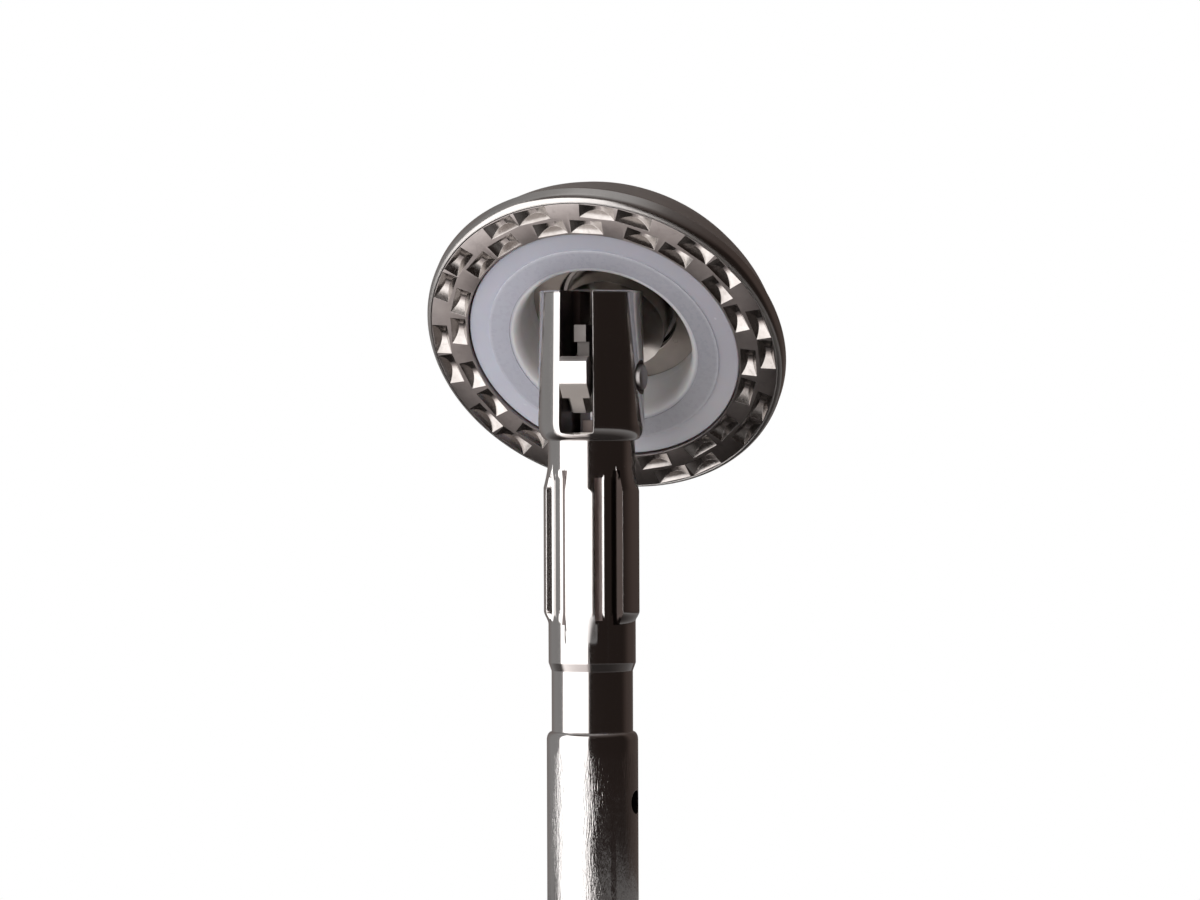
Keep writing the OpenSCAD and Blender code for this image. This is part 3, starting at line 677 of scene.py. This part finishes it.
# the domed head; the dome's points are shares of its radius and height
headSizes = {"radius": 12.47, "height": 7.1, "floor": 6.1, "cavity": 9.45, "floorRadius": 7.0, "step": 4.3,
             "seat": 12.08, "ringDepth": 1.33, "lip": 0.1, "round": 0.42, "stud": 2.53,
             "domeShares": [(1, 0.169), (0.982, 0.22), (0.946, 0.345), (0.898, 0.507), (0.847, 0.64),
                            (0.794, 0.76), (0.722, 0.852), (0.642, 0.91), (0.53, 0.953), (0.4, 0.98),
                            (0.25, 0.995)]}


def smoothLine(points, steps=5):
    # a curve through the points
    done = []
    for i in range(len(points) - 1):
        a, b, c, d = [Vector(points[max(0, min(len(points) - 1, i + k))]) for k in (-1, 0, 1, 2)]
        for j in range(steps):
            t = j / steps
            done.append(tuple(0.5 * (2 * b + (c - a) * t + (2 * a - 5 * b + 4 * c - d) * t * t
                                     + (3 * b - a - 3 * c + d) * t ** 3)))
    return done + [tuple(points[-1])]


def makeHead():
    s = headSizes
    rim = [(s["radius"] - s["round"] * (1 - math.sin(a)), s["round"] * 1.5 * (1 - math.cos(a)))
           for a in quarterArc(10)]
    dome = smoothLine([(a * s["radius"], b * s["height"]) for a, b in s["domeShares"]]
                      + [(s["stud"], s["height"] * 0.998)])
    inner = rounded([(s["stud"], s["height"] * 0.99), (s["stud"], s["floor"], 0.05),
                     (s["floorRadius"], s["floor"], 0.8), (s["cavity"], s["step"], 0.8),
                     (s["cavity"], s["ringDepth"], 0.05), (s["seat"], s["ringDepth"], 0.03),
                     (s["seat"], 0.0, 0.02)], 6)
    head = lathe("anvilDome", [(s["seat"] + s["lip"], 0)] + rim + dome + inner[1:], headPlace, 256, 25)
    dress(head, headSteel)
    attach(head, "head")
    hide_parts("anvil_head")
    print("scene: head,", len(head.data.polygons), "faces")


makeHead()


# the pocket ring: row radii, angles in degrees, pocket lengths as shares of the row's radius
ringSizes = {"inner": 9.48, "outer": 12.05, "thick": 1.3, "pairs": 10, "depth": 0.55, "width": 1.06,
             "narrow": 0.3, "outerRow": 11.43, "innerRow": 10.131, "turn": 33.3, "outerGap": 12.8,
             "innerGap": 14.6, "outerShare": 0.21, "innerShare": 0.218, "edge": 0.03}


def pocketCutter():
    # one half pocket, one unit long: an arched floor that is narrow where it is deep
    s = ringSizes
    half, top, steps = s["width"] / 2, -0.4, 14
    verts, faces = [], []
    for i in range(steps + 1):
        t = i / steps - 0.5
        rise = 1 - 4 * t * t
        deep, floor = s["depth"] * rise, half + half * (s["narrow"] - 1) * rise
        across = [(-half, top), (-half, 0), (-floor, deep), (floor, deep), (half, 0), (half, top)]
        verts += [(x, t, z) for x, z in across]
    for i in range(steps):
        here, there = i * 6, i * 6 + 6
        faces += [[here + k, here + (k + 1) % 6, there + (k + 1) % 6, there + k] for k in range(6)]
    faces += [list(range(6)), list(range(steps * 6, steps * 6 + 6))]
    return linkedMesh("pocketCutter", verts, faces, 1e-6)


def pocketTree():
    # two rows of half pockets are cut from the ring, and their faces get the brighter finish
    s = ringSizes
    group = bpy.data.node_groups.new("pocketRows", "GeometryNodeTree")
    group.interface.new_socket(name="Geometry", in_out="OUTPUT", socket_type="NodeSocketGeometry")
    for name, kind in (("Geometry", "Geometry"), ("Cutter", "Object"), ("Pocket finish", "Material")):
        group.interface.new_socket(name=name, in_out="INPUT", socket_type="NodeSocket" + kind)
    for name, kind, default in (("Pairs", "Int", s["pairs"]), ("Turn", "Float", math.radians(s["turn"])),
                                ("Outer row radius", "Float", s["outerRow"]),
                                ("Inner row radius", "Float", s["innerRow"]),
                                ("Outer pair angle", "Float", math.radians(s["outerGap"])),
                                ("Inner pair angle", "Float", math.radians(s["innerGap"])),
                                ("Outer pocket length", "Float", s["outerRow"] * s["outerShare"]),
                                ("Inner pocket length", "Float", s["innerRow"] * s["innerShare"])):
        made = group.interface.new_socket(name=name, in_out="INPUT", socket_type="NodeSocket" + kind)
        made.default_value = default
    g = nodeTree(group)
    start = group.nodes.new("NodeGroupInput").outputs
    pairs, turn = g.number(start["Pairs"]), g.number(start["Turn"])
    cutter = g.add("GeometryNodeObjectInfo", Object=start["Cutter"]).outputs["Geometry"]
    joined = g.add("GeometryNodeJoinGeometry")
    for row, shift in (("Outer", 0.0), ("Inner", 0.5)):
        index = g.number(g.add("GeometryNodeInputIndex").outputs[0])
        pair, side = (index / 2.0).math("FLOOR"), index.math("MODULO", 2.0) - 0.5
        angle = turn + (pair + shift) * (2 * math.pi / pairs) + side * g.number(start[row + " pair angle"])
        radius = g.number(start[row + " row radius"])
        spot = g.add("ShaderNodeCombineXYZ", X=angle.math("COSINE") * radius, Y=angle.math("SINE") * radius)
        points = g.add("GeometryNodePoints", Count=pairs * 2.0)
        placed = g.add("GeometryNodeSetPosition", Geometry=points.outputs[0], Position=spot.outputs[0])
        turned = g.add("ShaderNodeCombineXYZ", Z=angle)
        long = g.add("ShaderNodeCombineXYZ", X=1.0, Y=start[row + " pocket length"], Z=1.0)
        cuts = g.add("GeometryNodeInstanceOnPoints", Points=placed.outputs[0], Instance=cutter,
                     Rotation=turned.outputs[0], Scale=long.outputs[0])
        group.links.new(cuts.outputs[0], joined.inputs[0])
    real = g.add("GeometryNodeRealizeInstances", Geometry=joined.outputs[0])
    carved = g.add("GeometryNodeMeshBoolean", {"operation": "DIFFERENCE", "solver": "EXACT"},
                   i0=start["Geometry"], i1=real.outputs[0])
    place = g.add("GeometryNodeInputPosition").outputs[0]
    across, deep = g.radius(place), g.axisPart(place, 2)
    tilt = g.axisPart(g.add("GeometryNodeInputNormal").outputs[0], 2)
    within = across.math("LESS_THAN", s["outer"] - s["edge"]) \
        * across.math("GREATER_THAN", s["inner"] + s["edge"])
    chosen = within * tilt.math("GREATER_THAN", -0.995) * deep.math("LESS_THAN", s["depth"] + 0.02)
    final = g.add("GeometryNodeRealizeInstances", Geometry=carved.outputs[0])
    done = g.add("GeometryNodeSetMaterial", Geometry=final.outputs[0], Selection=chosen,
                 Material=start["Pocket finish"])
    group.links.new(done.outputs[0], group.nodes.new("NodeGroupOutput").inputs[0])
    return group


def makePocketRing():
    s = ringSizes
    corners = [(s["inner"], 0), (s["outer"], 0), (s["outer"], s["thick"]), (s["inner"], s["thick"])]
    outline = rounded([(*corner, s["edge"]) for corner in corners], 3)
    ring = lathe("pocketRing", outline, Matrix.Identity(4), 240, depths=False)
    dress(ring, pocketSteel, pocketBright)
    cutter, group = pocketCutter(), pocketTree()
    step = ring.modifiers.new("pockets", "NODES")
    step.node_group = group
    ids = {item.name: item.identifier for item in group.interface.items_tree if item.in_out == "INPUT"}
    step[ids["Cutter"]] = cutter
    step[ids["Pocket finish"]] = pocketBright.material
    settle(ring, 25)
    ring.data.transform(headPlace @ Matrix.Translation((0, 0, headFit["faceHeight"])))
    bpy.data.objects.remove(cutter)
    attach(ring, "head")
    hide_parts("pocket_ring")
    print("scene: pocket ring,", len(ring.data.polygons), "faces")


makePocketRing()


# the cutting ring, its film and the backup plate: radii and depths under the head's face
cutterSizes = {"radius": 9.4, "hole": 6.44, "sleeve": 6.0, "wall": 0.75, "inset": 0.2, "back": 2.25,
               "end": 4.2, "lip": 0.13, "lipLength": 0.8, "filmIn": 6.585, "filmOut": 8.035, "film": 0.1,
               "sheet": 0.55, "plateHole": 4.15, "gap": 0.03}


def makeCutter():
    s = cutterSizes
    reach = s["hole"] - s["sleeve"]
    bell = [(s["sleeve"] + reach * (1 - math.sin(a)), s["inset"] + 2 * reach * (1 - math.cos(a)))
            for a in reversed(quarterArc(10))]
    sleeveOut = s["sleeve"] + s["wall"]
    outline = rounded([(s["radius"] - 0.07, s["inset"], 0.05), (s["radius"], s["inset"] + 0.07, 0.05),
                       (s["radius"], s["back"], 0.1), (sleeveOut, s["back"], 0.1), (sleeveOut, s["end"], 0.1),
                       (s["sleeve"] - s["lip"], s["end"], 0.05),
                       (s["sleeve"], s["end"] - s["lipLength"], 0.1), (s["sleeve"], 2.0)])[:-1] + bell
    ring = lathe("cuttingRing", outline, headPlace, 256, 25)
    dress(ring, ringPlastic)
    filmTop = s["inset"] - s["film"]
    outline = rounded([(s["filmIn"], s["inset"]), (s["filmOut"], s["inset"]), (s["filmOut"], filmTop, 0.03),
                       (s["filmIn"], filmTop, 0.03)], 4)
    film = lathe("ringFilm", outline, headPlace, 256, 25)
    dress(film, coverFilm)
    wallIn, top, floor = sleeveOut + s["gap"], s["back"] + s["gap"], s["end"] + s["gap"]
    wallOut, under, back = wallIn + s["sheet"], top + s["sheet"], floor + s["sheet"]
    outline = rounded([(s["radius"], top, 0.05), (s["radius"], under, 0.05), (wallOut, under, 0.2),
                       (wallOut, back, 0.4), (s["plateHole"], back, 0.08), (s["plateHole"], floor, 0.08),
                       (wallIn, floor, 0.15), (wallIn, top, 0.15)])
    plate = lathe("backupHat", outline, headPlace, 224, 25)
    dress(plate, plateSteel)
    for piece, slot, node in ((ring, "ring_plastic", "cutting_ring"), (film, "cover_film", "ring_cover"),
                              (plate, "plate_steel", "backup_plate")):
        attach(piece, "cutter")
        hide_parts(node)
    print("scene: cutting ring, film and plate")


makeCutter()


# the pin's ends: where each one's edge is from the middle, and how far its dome rises
pinSizes = {"radius": 0.85, "right": 3.65, "left": 3.42, "rightDome": 0.2, "leftDome": 0.1}


def pinEnd(side):
    s = pinSizes
    return [(s["radius"] * math.sin(a), s[side] + s[side + "Dome"] * math.cos(a)) for a in quarterArc(12)]


def makePin():
    outline = pinEnd("right") + [(x, -z) for x, z in reversed(pinEnd("left"))]
    pin = lathe("pivotPin", outline, pinPlace @ acrossTurn, 96, 40, depths=False)
    dress(pin, pinEndSteel)
    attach(pin, "root")
    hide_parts("pivot_pin")


makePin()


# the coil: radii, heights of its ends, turns, and points round each turn and round the wire
springSizes = {"radius": 1.17, "wire": 0.175, "low": 26.11, "high": 35.02, "turns": 9, "points": 24,
               "sides": 10}


def makeSpring():
    # the coil, wound from its low end up to its high one
    s = springSizes
    count, sides = s["turns"] * s["points"], s["sides"]
    verts, faces = [], []
    for i in range(count + 1):
        a = 2 * math.pi * i / s["points"]
        z = s["low"] + (s["high"] - s["low"]) * i / count
        for k in range(sides):
            b = 2 * math.pi * k / sides
            r = s["radius"] + s["wire"] * math.cos(b)
            verts.append((r * math.cos(a), r * math.sin(a), z + s["wire"] * math.sin(b)))
    for i in range(count):
        here, there = i * sides, (i + 1) * sides
        faces += [[here + k, here + (k + 1) % sides, there + (k + 1) % sides, there + k]
                  for k in range(sides)]
    faces += [list(range(sides)), list(range(count * sides, (count + 1) * sides))]
    spring = meshObject("plungerCoil", verts, faces, rodPlace, 60)
    dress(spring, springSteel)
    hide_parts("plunger_spring")
    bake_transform(spring)


makeSpring()

# the plunger gets the inside's painted shade and the cam latch its own painted shade
for name, one in (("plunger", slotSteel), ("cam_latch", latchSteel), ("pivot_post", postSteel),
                  ("spacer_washer", washerSteel), ("retainer_clip", springSteel)):
    dressNode(name, one)
print("scene: packed pieces dressed")


# the studio: camera in metres and degrees, radii of the shell and the floor
studio = {"azimuth": 17.6, "distance": 0.42, "height": 0.04323, "lens": 186.57, "down": 0.4759,
          "aside": -0.078, "roll": -0.188, "shell": 0.33, "middle": 0.035, "floor": 0.11}


def placeCamera():
    s = studio
    a, b, p = math.radians(s["azimuth"]), math.radians(s["azimuth"] + s["aside"]), math.radians(s["down"])
    camera = bpy.data.objects.new("camera", bpy.data.cameras.new("camera"))
    bpy.context.collection.objects.link(camera)
    ahead = Vector((-math.sin(b) * math.cos(p), math.cos(b) * math.cos(p), -math.sin(p)))
    right = ahead.cross(Vector((0, 0, 1))).normalized()
    up = right.cross(ahead)
    turn = math.radians(s["roll"])
    across = right * math.cos(turn) + up * math.sin(turn)
    above = up * math.cos(turn) - right * math.sin(turn)
    camera.matrix_world = Matrix(((across.x, above.x, -ahead.x, math.sin(a) * s["distance"]),
                                  (across.y, above.y, -ahead.y, -math.cos(a) * s["distance"]),
                                  (across.z, above.z, -ahead.z, s["height"]), (0, 0, 0, 1)))
    camera.data.sensor_width = 36
    camera.data.lens = s["lens"]
    camera.data.clip_start, camera.data.clip_end = 0.01, 10
    bpy.context.scene.camera = camera


def floorDisc(name, low, high):
    outline = [(studio["floor"] * math.cos(math.pi * k / 48), studio["floor"] * math.sin(math.pi * k / 48))
               for k in range(96)]
    return prism(name, outline, low, high, Matrix.Identity(4))


def makeFloor():
    # white to the camera, and not seen in the metal
    look = {"light": (0.86, 0.86, 0.86), "dark": (0.8, 0.8, 0.8), "glow": 0.45, "cloudScale": 60}
    floor = floorDisc("studioFloor", -0.003, -0.00002)
    f = finish("floorPaper", Roughness=0.9, Emission_Color=(1, 1, 1, 1), Specular_IOR_Level=0.0)
    f.set(Base_Color=f.mixed(f.noise(f.place, look["cloudScale"], 3), look["light"], look["dark"]),
          Emission_Strength=f.number(f.add("ShaderNodeLightPath").outputs["Is Camera Ray"]) * look["glow"])
    dress(floor, f)
    floor.visible_glossy = False


class cardFinish(nodeTree):
    # an emitter that knows a point's turn from the camera's side, its distance from the rod and its height
    def __init__(self, name):
        self.material = bpy.data.materials.new(name)
        self.material.use_nodes = True
        super().__init__(self.material.node_tree)
        self.tree.nodes.clear()
        place = self.add("ShaderNodeTexCoord").outputs["Object"]
        x, y, self.height = (self.axisPart(place, axis) for axis in range(3))
        turned = x.math("ARCTAN2", y * -1.0) * (180 / math.pi) - studio["azimuth"]
        self.right = (turned + 540.0).math("MODULO", 360.0) - 180.0
        self.away = (x * x + y * y).math("SQRT")

    def show(self, card, roomTint, paper, strength):
        # the paper's white where paper is 1, and the dark room's tint where it is 0
        tint = self.mixed(paper.math("MINIMUM", 1.0), roomTint, (1.0, 0.98, 0.97))
        glow = self.add("ShaderNodeEmission", Color=tint, Strength=strength)
        self.tree.links.new(glow.outputs[0], self.add("ShaderNodeOutputMaterial").inputs["Surface"])
        dress(card, self)
        card.visible_camera = card.visible_diffuse = card.visible_shadow = False
        card.visible_transmission = card.visible_volume_scatter = False


def makeLowCard():
    # what the downward faces mirror: light paper on the left in front, dim elsewhere
    look = {"roomTint": (1.0, 0.88, 0.84), "room": 0.035, "front": 2.4, "around": 0.2}
    card = floorDisc("studioLowCard", -0.00002, -0.00001)
    f = cardFinish("studioPaper")
    # close to the rod the paper stays dark: the rod's own shadow on it painted in
    front = f.right.between(-98, -86) * (1 - f.right.between(-17, -5)) * f.away.between(0.012, 0.06)
    around = f.away.between(0.035, 0.09) * (1 - front)
    f.show(card, look["roomTint"], front + around,
           look["room"] + front * look["front"] + around * look["around"])


def makeShell():
    # what the metal mirrors: a softbox on the left, a dark room behind the camera and at the right
    look = {"roomTint": (1.0, 0.72, 0.62), "room": 0.024, "box": 2.4, "left": 0.3, "strip": 0.04,
            "above": 0.2, "overhead": 0.3, "below": 0.3}
    radius, middle, verts, faces = studio["shell"], studio["middle"], [], []
    count, rows = 96, 38
    for j in range(rows + 1):
        e = math.radians(-30 + 120 * j / rows)
        for k in range(count):
            a = 2 * math.pi * k / count
            verts.append((radius * math.cos(e) * math.sin(a), -radius * math.cos(e) * math.cos(a),
                          middle + radius * math.sin(e)))
    for j in range(rows):
        for k in range(count):
            n = (k + 1) % count
            faces.append([j * count + k, j * count + n, (j + 1) * count + n, (j + 1) * count + k])
    shell = meshObject("studioShell", verts, faces, Matrix.Identity(4))
    f = cardFinish("studioCards")
    right, level = f.right, (f.height - middle).math("ARCTAN2", f.away) * (180 / math.pi)
    box = right.band(-92, -11, 0.8) * level.band(-45, 46, 1.0)
    left = (0.4 + right.between(-180, -130) * 0.6) * (1 - right.between(-94, -90))
    left = left + right.between(95, 180) * 0.4
    strip = right.band(100, 128, 12.0) * level.band(-6, 40, 8.0)
    above, overhead, below = level.between(30, 80), level.between(64, 80), 1 - level.between(-34, -18)
    others = left * look["left"] + strip * look["strip"] + above * look["above"]
    others = others + overhead * look["overhead"] + below * look["below"]
    f.show(shell, look["roomTint"], box + left + above + below,
           look["room"] + box * look["box"] + (1 - box) * others)


def makeLamp(name, azimuth, elevation, distance, width, height, power):
    light = bpy.data.lights.new(name, "AREA")
    light.shape, light.size, light.size_y, light.energy = "RECTANGLE", width, height, power
    item = bpy.data.objects.new(name, light)
    bpy.context.collection.objects.link(item)
    a, e = math.radians(azimuth), math.radians(elevation)
    spot = Vector((math.sin(a) * math.cos(e), -math.cos(a) * math.cos(e), math.sin(e))) * distance
    item.location = spot + Vector((0, 0, studio["middle"]))
    item.rotation_euler = (-spot).to_track_quat("-Z", "Y").to_euler()
    item.visible_glossy = False


def makeLights():
    makeLamp("softbox", studio["azimuth"] - 50, 22, 0.4, 0.5, 0.4, 1.4)
    makeLamp("fill", studio["azimuth"] + 40, 8, 0.5, 0.4, 0.4, 0.12)
    world = bpy.data.worlds.new("studioWorld")
    bpy.context.scene.world = world
    world.use_nodes = True
    w = nodeTree(world.node_tree)
    rays = w.add("ShaderNodeLightPath").outputs
    seen = w.number(rays["Is Camera Ray"]) + w.number(rays["Is Glossy Ray"])
    seen = (seen + w.number(rays["Is Transmission Ray"])).math("MINIMUM", 1.0)
    back = w.tree.nodes["Background"]
    w.tree.links.new(((1 - seen) * 0.45 + seen).out, back.inputs["Strength"])
    back.inputs["Color"].default_value = (1, 1, 1, 1)


placeCamera()
makeFloor()
makeLowCard()
makeShell()
makeLights()
bpy.context.scene.view_settings.view_transform = "Standard"
print("scene: studio ready")
